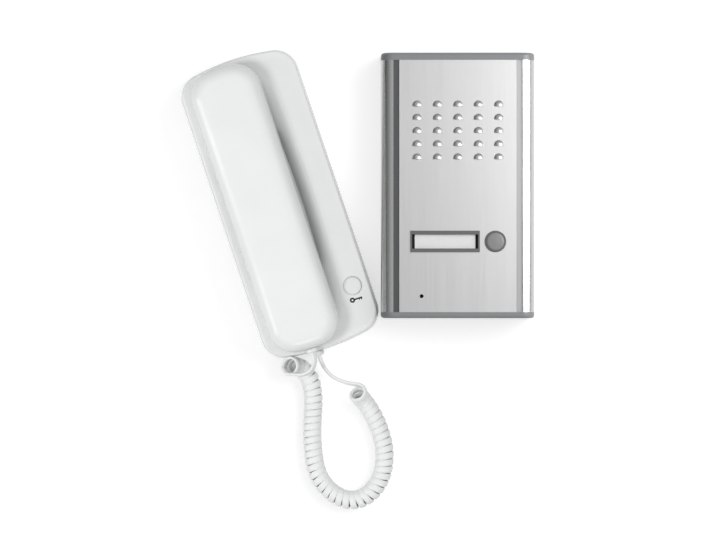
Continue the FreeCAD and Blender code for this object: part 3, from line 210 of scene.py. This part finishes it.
# the cord's sizes in millimetres, and its routes in metres from the indoor station's centre
curlyCord = {
    "width": 4.85, "thickness": 2.5, "bulge": 0.7, "groove": 0.16, "grooveReach": 0.3, "sectionPoints": 16,
    "turns": 46, "pointsPerTurn": 18, "meanRadius": 5.55, "endRadius": 6.2, "flareTurns": 1.2, "lift": 0.45,
    "handsetTailSteps": 40, "baseTailSteps": 60, "insideGrommet": 1, "straightRun": 5,
}
stationCentre = Vector((-0.0558, 0, 0))
outward = Vector((0.317305, -0.948324, 0))
handsetExit = Vector((0.0242, -0.1069, 0.0300))
baseExit = Vector((0.0283, -0.1097, 0.0080))
coilRoute = [
    (0.0071, -0.1166, 0.0180), (0.0110, -0.1168, 0.0126), (0.0173, -0.1198, 0.0076),
    (0.0221, -0.1266, 0.0066), (0.0243, -0.1375, 0.0065), (0.0242, -0.1485, 0.0066),
    (0.0233, -0.1607, 0.0065), (0.0236, -0.1736, 0.0066), (0.0255, -0.1909, 0.0065),
    (0.0309, -0.2024, 0.0066), (0.0406, -0.2113, 0.0065), (0.0515, -0.2151, 0.0066),
    (0.0631, -0.2119, 0.0065), (0.0723, -0.2010, 0.0066), (0.0759, -0.1885, 0.0065),
    (0.0755, -0.1730, 0.0066), (0.0693, -0.1555, 0.0067), (0.0625, -0.1446, 0.0080),
    (0.0576, -0.1389, 0.0124), (0.0558, -0.1359, 0.0176),
]
handsetTailRoute = [(0.0244, -0.1184, 0.0268), (0.0186, -0.1232, 0.0232), (0.0096, -0.1230, 0.0199)]
baseTailRoute = [
    (0.0330, -0.1201, 0.0062), (0.0380, -0.1252, 0.0056), (0.0446, -0.1284, 0.0079),
    (0.0512, -0.1299, 0.0121),
]


def routeLine(points):
    # one smooth NURBS line through the route, read back as points
    curve = bpy.data.curves.new("route", "CURVE")
    curve.dimensions = "3D"
    curve.resolution_u = 24
    spline = curve.splines.new("NURBS")
    spline.points.add(len(points) - 1)
    for point, place in zip(spline.points, points):
        point.co = (*place, 1)
    spline.order_u = 3
    spline.use_endpoint_u = True
    holder = bpy.data.objects.new("route", curve)
    scene.collection.objects.link(holder)
    bpy.context.view_layer.update()
    mesh = bpy.data.meshes.new_from_object(holder)
    line = [vertex.co.copy() for vertex in mesh.vertices]
    bpy.data.objects.remove(holder)
    bpy.data.curves.remove(curve)
    bpy.data.meshes.remove(mesh)
    return line


def evenly(line, count):
    # the same line with equal steps
    reach = [0.0]
    for before, after in zip(line, line[1:]):
        reach.append(reach[-1] + (after - before).length)
    result, index = [], 0
    for step in range(count + 1):
        wanted = reach[-1] * step / count
        while index < len(line) - 2 and reach[index + 1] < wanted:
            index += 1
        share = (wanted - reach[index]) / (reach[index + 1] - reach[index])
        result.append(line[index].lerp(line[index + 1], share))
    return result


def headings(line):
    ahead = line[1:] + [line[-1] * 2 - line[-2]]
    behind = [line[0] * 2 - line[1]] + line[:-1]
    return [(after - before).normalized() for before, after in zip(behind, ahead)]


def across(side, heading):
    return (side - heading * side.dot(heading)).normalized()


def carried(side, directions):
    # one side direction, carried along a line without twisting
    sides = []
    for heading in directions:
        side = across(side, heading)
        sides.append(side)
    return sides


def coilLine():
    steps = curlyCord["turns"] * curlyCord["pointsPerTurn"]
    middle = stationCentre + Vector((0, 0, curlyCord["lift"] * millimetre))
    axis = evenly(routeLine([middle + Vector(place) for place in coilRoute]), steps)
    directions = headings(axis)
    sides = carried(Vector((0, -1, 0)), directions)
    wanted = across(Vector((0, 1, 0)), directions[-1])
    lastSide = sides[-1]
    lastTurn = math.atan2(wanted.dot(directions[-1].cross(lastSide)), wanted.dot(lastSide))
    sweep = 2 * math.pi * curlyCord["turns"] + lastTurn
    points, outer = [], []
    for index, (place, heading, side) in enumerate(zip(axis, directions, sides)):
        angle = sweep * index / steps
        radial = side * math.cos(angle) + heading.cross(side) * math.sin(angle)
        turnsFromEnd = min(index, steps - index) / curlyCord["pointsPerTurn"]
        flare = max(0.0, 1 - turnsFromEnd / curlyCord["flareTurns"]) ** 2
        radius = curlyCord["meanRadius"] + (curlyCord["endRadius"] - curlyCord["meanRadius"]) * flare
        points.append(place + radial * radius * millimetre)
        outer.append(radial)
    return points, outer


def cordSection(bm, place, wide, thick):
    # a flat oval with a shallow groove along the middle of each broad side
    groove = curlyCord["groove"] * millimetre
    halfWidth = curlyCord["width"] / 2 * millimetre
    halfThickness = curlyCord["thickness"] / 2 * millimetre
    ring = bmesh.ops.create_circle(bm, cap_ends=False, segments=curlyCord["sectionPoints"], radius=1)
    for vertex in ring["verts"]:
        x, y = vertex.co.x, vertex.co.y
        side = 1 if y > 0 else -1
        bulge = abs(y) ** curlyCord["bulge"] * side
        dent = groove * max(0.0, 1 - abs(x) / curlyCord["grooveReach"]) * side
        vertex.co = place + wide * x * halfWidth + thick * (bulge * halfThickness - dent)
    return ring["verts"]


def sweepCord(name, line, thick):
    bm = bmesh.new()
    directions = headings(line)
    frames = []
    for place, heading, side in zip(line, directions, thick):
        side = across(side, heading)
        frames.append(Matrix((heading.cross(side), side, heading)).transposed().to_4x4())
        frames[-1].translation = place
    first = frames[0]
    verts = cordSection(bm, first.translation, first.to_3x3().col[0], first.to_3x3().col[1])
    edges = list(bm.edges)
    bmesh.ops.contextual_create(bm, geom=edges)
    for before, after in zip(frames, frames[1:]):
        made = bmesh.ops.extrude_edge_only(bm, edges=edges)["geom"]
        verts = [item for item in made if isinstance(item, bmesh.types.BMVert)]
        edges = [item for item in made if isinstance(item, bmesh.types.BMEdge)]
        bmesh.ops.transform(bm, verts=verts, matrix=after @ before.inverted())
    bmesh.ops.contextual_create(bm, geom=edges)
    bmesh.ops.recalc_face_normals(bm, faces=bm.faces)
    for face in bm.faces:
        face.smooth = True
    mesh = bpy.data.meshes.new(name)
    bm.to_mesh(mesh)
    bm.free()
    piece = bpy.data.objects.new(name, mesh)
    scene.collection.objects.link(piece)
    return piece


def tailLine(start, route, coilEnd, steps):
    # from inside the grommet, straight out of it and on to the coil
    inside = outward * curlyCord["insideGrommet"] * millimetre
    ahead = outward * curlyCord["straightRun"] * millimetre
    points = [start - inside, start + ahead]
    points += [stationCentre + Vector(place) for place in route] + [coilEnd]
    return evenly(routeLine(points), steps)


def addCord():
    # the coil's first quarter turn goes with the handset's tail, and all the rest is one piece
    coil, coilSides = coilLine()
    handsetStart, baseStart = stationCentre + handsetExit, stationCentre + baseExit
    handsetTail = tailLine(handsetStart, handsetTailRoute, coil[0], curlyCord["handsetTailSteps"])
    baseTail = tailLine(baseStart, baseTailRoute, coil[-1], curlyCord["baseTailSteps"])
    handsetSides = carried(coilSides[0], headings(handsetTail)[::-1])[::-1]
    baseSides = carried(coilSides[-1], headings(baseTail)[::-1])[::-1]
    split = curlyCord["pointsPerTurn"] // 4
    freeLine = handsetTail[:-1] + coil[:split + 1]
    freeSides = handsetSides[:-1] + coilSides[:split + 1]
    cordLine = baseTail[:-1] + coil[split:][::-1]
    cordSides = baseSides[:-1] + coilSides[split:][::-1]
    cord = sweepCord("curly_cord", cordLine, cordSides)
    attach(cord, "base")
    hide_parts("cord_coil", "cord_base_tail")
    tail = sweepCord("handset_cord_tail", freeLine, freeSides)
    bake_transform(tail)
    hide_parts("cord_handset_tail")
    return cord, tail


cordPieces = addCord()

print("key mark")

keyMark = {"ring": (27.7, -82.6), "ringRadius": 1.9, "holeRadius": 0.7, "ringSteps": 32, "length": 9.2,
           "shaft": 1.1, "shaftOverlap": 0.3, "bits": ((32.8, 0.7), (34.3, 0.9)), "bitWidth": 0.8,
           "coverTop": 24.0, "ink": 0.06, "sunk": 0.15, "turnDeg": 18.5}
mergeDistance = 1e-5


def addBar(bm, low, high):
    bar = bmesh.ops.create_cube(bm, size=1)["verts"]
    size = [end - start for start, end in zip(low, high)]
    middle = [(start + end) / 2 for start, end in zip(low, high)]
    bmesh.ops.scale(bm, verts=bar, vec=size)
    bmesh.ops.translate(bm, verts=bar, vec=middle)


def addKeyMark():
    # a printed key beside the release button: ring, shaft and two bits
    look = keyMark
    ringX, ringY = look["ring"]
    low, high = look["coverTop"] - look["sunk"], look["coverTop"] + look["ink"]
    half = look["shaft"] / 2
    bm = bmesh.new()
    section = bmesh.ops.create_grid(bm, x_segments=1, y_segments=1, size=0.5)["verts"]
    bmesh.ops.scale(bm, verts=section, vec=(look["ringRadius"] - look["holeRadius"], high - low, 1))
    bmesh.ops.rotate(bm, verts=section, cent=(0, 0, 0), matrix=Matrix.Rotation(math.pi / 2, 3, "X"))
    bmesh.ops.translate(bm, verts=section, vec=(
        ringX + (look["ringRadius"] + look["holeRadius"]) / 2, ringY, (low + high) / 2))
    bmesh.ops.spin(bm, geom=bm.faces[:], cent=(ringX, ringY, 0), axis=(0, 0, 1), angle=2 * math.pi,
                   steps=look["ringSteps"], use_merge=True)
    end = ringX - look["ringRadius"] + look["length"]
    start = ringX + look["ringRadius"] - look["shaftOverlap"]
    addBar(bm, (start, ringY - half, low), (end, ringY + half, high))
    for x, reach in look["bits"]:
        left, right = x - look["bitWidth"] / 2, x + look["bitWidth"] / 2
        addBar(bm, (left, ringY - half - reach, low), (right, ringY, high))
    bmesh.ops.remove_doubles(bm, verts=bm.verts, dist=mergeDistance)
    bmesh.ops.recalc_face_normals(bm, faces=bm.faces)
    bmesh.ops.scale(bm, verts=bm.verts, vec=(millimetre,) * 3)
    bmesh.ops.rotate(bm, verts=bm.verts, cent=(0, 0, 0),
                     matrix=Matrix.Rotation(math.radians(look["turnDeg"]), 3, "Z"))
    bmesh.ops.translate(bm, verts=bm.verts, vec=stationCentre)
    mesh = bpy.data.meshes.new("key_mark")
    bm.to_mesh(mesh)
    bm.free()
    mark = bpy.data.objects.new("key_mark", mesh)
    scene.collection.objects.link(mark)
    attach(mark, "base")
    return mark


keyPiece = addKeyMark()

print("release button")

releaseButton = {"capRadius": 6.66, "edgeRound": 2.7, "edgeDrop": 1.9, "top": 25.4, "crown": 0.25,
                 "flangeRadius": 7.8, "flangeTop": 21.7, "flangeFoot": 20.3, "stemRadius": 2.2,
                 "play": (-0.11, -0.05), "smoothAbove": 21.9, "steps": 72, "roundSteps": 10, "crownSteps": 5}


def addReleaseButton():
    # a cap rounded well over its edge, with its flange and stem below, resting against one side of its bore
    look = releaseButton
    low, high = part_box("release_button")
    foot = low[2] / millimetre
    flat = look["capRadius"] - look["edgeRound"]
    outline = [(0, foot), (look["stemRadius"], foot), (look["stemRadius"], look["flangeFoot"]),
               (look["flangeRadius"], look["flangeFoot"]), (look["flangeRadius"], look["flangeTop"]),
               (look["capRadius"], look["flangeTop"])]
    for step in range(look["roundSteps"] + 1):
        turn = math.pi / 2 * step / look["roundSteps"]
        outline.append((flat + look["edgeRound"] * math.cos(turn),
                        look["top"] - look["edgeDrop"] * (1 - math.sin(turn))))
    for step in range(1, look["crownSteps"] + 1):
        share = 1 - step / look["crownSteps"]
        outline.append((flat * share, look["top"] + look["crown"] * (1 - share ** 2)))
    bm = bmesh.new()
    verts = [bm.verts.new((radius, 0, height)) for radius, height in outline]
    edges = [bm.edges.new(pair) for pair in zip(verts, verts[1:])]
    bmesh.ops.spin(bm, geom=verts + edges, cent=(0, 0, 0), axis=(0, 0, 1), angle=2 * math.pi,
                   steps=look["steps"], use_merge=True)
    bmesh.ops.remove_doubles(bm, verts=bm.verts, dist=mergeDistance)
    bmesh.ops.recalc_face_normals(bm, faces=bm.faces)
    for face in bm.faces:
        face.smooth = face.calc_center_median().z > look["smoothAbove"]
    bmesh.ops.translate(bm, verts=bm.verts, vec=(*look["play"], 0))
    bmesh.ops.scale(bm, verts=bm.verts, vec=(millimetre,) * 3)
    bmesh.ops.translate(bm, verts=bm.verts, vec=((low[0] + high[0]) / 2, (low[1] + high[1]) / 2, 0))
    mesh = bpy.data.meshes.new("release_button_cap")
    bm.to_mesh(mesh)
    bm.free()
    cap = bpy.data.objects.new("release_button_cap", mesh)
    scene.collection.objects.link(cap)
    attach(cap, "release_button")
    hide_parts("release_button")
    return cap


buttonPiece = addReleaseButton()

print("finishes")

# how far a noise really swings, for colours and for roughness
colourSwing = (0.35, 0.65)
roughnessSwing = (0.3, 0.7)


def speckle(tree, scale, stretch=(1, 1, 1), detail=3):
    # noise on the piece's own coordinates, in spots per metre
    place = tree.nodes.new("ShaderNodeTexCoord")
    spread = tree.nodes.new("ShaderNodeMapping")
    spread.inputs["Scale"].default_value = [scale * part for part in stretch]
    noise = tree.nodes.new("ShaderNodeTexNoise")
    noise.inputs["Scale"].default_value = 1
    noise.inputs["Detail"].default_value = detail
    tree.links.new(place.outputs["Object"], spread.inputs["Vector"])
    tree.links.new(spread.outputs["Vector"], noise.inputs["Vector"])
    return noise.outputs["Fac"]


def varyColour(tree, shader, source, first, second):
    ramp = tree.nodes.new("ShaderNodeValToRGB")
    for stop, position, colour in zip(ramp.color_ramp.elements, colourSwing, (first, second)):
        stop.position = position
        stop.color = (*colour, 1)
    tree.links.new(source, ramp.inputs["Fac"])
    tree.links.new(ramp.outputs["Color"], shader.inputs["Base Color"])


def varyRoughness(tree, shader, source, low, high):
    spread = tree.nodes.new("ShaderNodeMapRange")
    spread.inputs["From Min"].default_value, spread.inputs["From Max"].default_value = roughnessSwing
    spread.inputs["To Min"].default_value = low
    spread.inputs["To Max"].default_value = high
    tree.links.new(source, spread.inputs["Value"])
    tree.links.new(spread.outputs["Result"], shader.inputs["Roughness"])


def addRelief(tree, shader, *layers):
    # stacked bumps, each a pattern and its height in metres
    normal = None
    for source, height in layers:
        bump = tree.nodes.new("ShaderNodeBump")
        bump.inputs["Distance"].default_value = height
        tree.links.new(source, bump.inputs["Height"])
        if normal:
            tree.links.new(normal, bump.inputs["Normal"])
        normal = bump.outputs["Normal"]
    tree.links.new(normal, shader.inputs["Normal"])


def darker(colour, share):
    return tuple(part * share for part in colour)


def newFinish(name):
    material = bpy.data.materials.new(name)
    material.use_nodes = True
    return material, material.node_tree, material.node_tree.nodes["Principled BSDF"]


moulding = {"cloudScale": 30, "cloudShade": 0.975, "glossScale": 160, "waveScale": 24, "poreScale": 1500}


def mouldedPlastic(name, colour, roughness, wave=0.0, pores=0.00002):
    look = moulding
    material, tree, shader = newFinish(name)
    cloud = speckle(tree, look["cloudScale"])
    varyColour(tree, shader, cloud, darker(colour, look["cloudShade"]), colour)
    varyRoughness(tree, shader, speckle(tree, look["glossScale"]), *roughness)
    layers = [(speckle(tree, look["poreScale"], detail=2), pores)]
    if wave:
        layers.insert(0, (speckle(tree, look["waveScale"], detail=1), wave))
    addRelief(tree, shader, *layers)
    return material


brushing = {"scale": 2600, "along": (1, 0.012, 1), "shade": 0.97, "glossScale": 1040, "grain": 0.000008}


def brushedMetal(name, colour, roughness, along=brushing["along"]):
    look = brushing
    material, tree, shader = newFinish(name)
    shader.inputs["Metallic"].default_value = 1
    streaks = speckle(tree, look["scale"], along, detail=4)
    varyColour(tree, shader, streaks, darker(colour, look["shade"]), colour)
    varyRoughness(tree, shader, speckle(tree, look["glossScale"], along), *roughness)
    addRelief(tree, shader, (streaks, look["grain"]))
    return material


rubberSkin = {"cloudScale": 90, "cloudShade": 0.8, "glossScale": 400, "roughness": (0.62, 0.8),
              "poreScale": 2600, "pores": 0.00004}


def rubber(name, colour):
    look = rubberSkin
    material, tree, shader = newFinish(name)
    varyColour(tree, shader, speckle(tree, look["cloudScale"]), darker(colour, look["cloudShade"]), colour)
    varyRoughness(tree, shader, speckle(tree, look["glossScale"]), *look["roughness"])
    addRelief(tree, shader, (speckle(tree, look["poreScale"]), look["pores"]))
    return material


lacquer = {"trackScale": 260, "trackWidth": 0.05, "shade": 0.8, "glossScale": 300, "roughness": (0.3, 0.42),
           "trackHeight": 0.00003}


def boardLacquer(name, colour, copper):
    # solder mask with the paler lines of the tracks beneath it
    look = lacquer
    material, tree, shader = newFinish(name)
    place = tree.nodes.new("ShaderNodeTexCoord")
    tracks = tree.nodes.new("ShaderNodeTexBrick")
    tracks.inputs["Scale"].default_value = look["trackScale"]
    tracks.inputs["Mortar Size"].default_value = look["trackWidth"]
    tracks.inputs["Color1"].default_value = (*colour, 1)
    tracks.inputs["Color2"].default_value = (*darker(colour, look["shade"]), 1)
    tracks.inputs["Mortar"].default_value = (*copper, 1)
    tree.links.new(place.outputs["Object"], tracks.inputs["Vector"])
    tree.links.new(tracks.outputs["Color"], shader.inputs["Base Color"])
    varyRoughness(tree, shader, speckle(tree, look["glossScale"]), *look["roughness"])
    addRelief(tree, shader, (tracks.outputs["Fac"], look["trackHeight"]))
    return material


cardStock = {"cloudScale": 700, "cloudAlong": (1, 0.3, 1), "cloudShade": 0.97, "glossScale": 900,
             "roughness": (0.75, 0.9), "fibreScale": 1800, "fibreAlong": (1, 0.4, 1), "fibres": 0.00003}


def paperCard(name, colour):
    look = cardStock
    material, tree, shader = newFinish(name)
    cloud = speckle(tree, look["cloudScale"], look["cloudAlong"])
    varyColour(tree, shader, cloud, darker(colour, look["cloudShade"]), colour)
    varyRoughness(tree, shader, speckle(tree, look["glossScale"]), *look["roughness"])
    addRelief(tree, shader, (speckle(tree, look["fibreScale"], look["fibreAlong"]), look["fibres"]))
    return material


windowSheet = {"cover": 0.14, "ior": 1.49, "cloudScale": 40, "cloudShade": 0.98, "glossScale": 200,
               "roughness": (0.03, 0.08), "waveScale": 60, "wave": 0.00003}


def clearSheet(name, colour):
    look = windowSheet
    material, tree, shader = newFinish(name)
    shader.inputs["Alpha"].default_value = look["cover"]
    shader.inputs["IOR"].default_value = look["ior"]
    varyColour(tree, shader, speckle(tree, look["cloudScale"]), darker(colour, look["cloudShade"]), colour)
    varyRoughness(tree, shader, speckle(tree, look["glossScale"]), *look["roughness"])
    addRelief(tree, shader, (speckle(tree, look["waveScale"], detail=1), look["wave"]))
    return material


finishes = {
    "white_shell": mouldedPlastic("glossWhiteShell", (0.775, 0.785, 0.78), (0.24, 0.265), wave=0.0004),
    "white_button": mouldedPlastic("glossWhiteButton", (0.77, 0.78, 0.775), (0.19, 0.215), wave=0.0001),
    "white_cord": mouldedPlastic("whiteCordJacket", (0.79, 0.8, 0.8), (0.32, 0.4), pores=0.00004),
    "black_plastic": mouldedPlastic("blackPlastic", (0.018, 0.018, 0.02), (0.35, 0.5)),
    # near black and dull: painted shade for the window's recess and the small hole
    "painted_shade_black": mouldedPlastic("paintedShadeBlack", (0.004, 0.004, 0.004), (0.8, 0.95)),
    "dark_housing": mouldedPlastic("darkHousing", (0.035, 0.036, 0.038), (0.45, 0.6), pores=0.00006),
    "grey_cap": mouldedPlastic("greyEndCap", (0.24, 0.245, 0.25), (0.28, 0.4)),
    "grey_trim": mouldedPlastic("greyTrim", (0.13, 0.131, 0.133), (0.3, 0.42)),
    "grey_button": mouldedPlastic("greyCallButton", (0.25, 0.25, 0.25), (0.3, 0.4), pores=0.00004),
    "lamp": mouldedPlastic("milkyLamp", (0.8, 0.8, 0.7), (0.2, 0.3)),
    "brushed_plate": brushedMetal("brushedPlate", (0.64, 0.64, 0.645), (0.36, 0.42)),
    "rail_aluminium": brushedMetal("satinRail", (0.56, 0.56, 0.565), (0.2, 0.3)),
    "dark_stripe": brushedMetal("darkStripe", (0.12, 0.122, 0.126), (0.35, 0.5)),
    # a paler copy of the dark stripe's finish: painted highlight for the right stripe
    "lit_stripe_copy": brushedMetal("litStripeCopy", (0.42, 0.42, 0.425), (0.35, 0.5)),
    "steel": brushedMetal("zincSteel", (0.55, 0.55, 0.56), (0.3, 0.42), along=(1, 1, 1)),
    "grey_rubber": rubber("greyRubber", (0.05, 0.05, 0.053)),
    "circuit_board": boardLacquer("greenBoard", (0.02, 0.10, 0.045), (0.05, 0.2, 0.09)),
    "white_card": paperCard("plainCard", (0.86, 0.86, 0.85)),
    "clear_window": clearSheet("clearWindow", (0.9, 0.92, 0.92)),
}


def wearFinish(piece, finish):
    piece.data.materials.clear()
    piece.data.materials.append(finishes[finish])


def dressNodes():
    for part in frame["record"]["subparts"]:
        wearFinish(cadNodes[part["node"]], part["material_slot"])


# the right stripe wears a paler copy of the stripe finish, a painted highlight
dressNodes()
wearFinish(cadNodes["side_stripe_right"], "lit_stripe_copy")
# the backing behind the window's card is black plastic made darker and duller as painted shade, and the mic
# and its boot in the small hole are painted black as the hole's shade
for name in ("name_backing", "door_mic", "door_mic_boot"):
    wearFinish(cadNodes[name], "painted_shade_black")
for piece in cordPieces:
    wearFinish(piece, "white_cord")
wearFinish(keyPiece, "black_plastic")
wearFinish(buttonPiece, "white_button")
addLamps(floorPlane, [*cordPieces, keyPiece, buttonPiece])
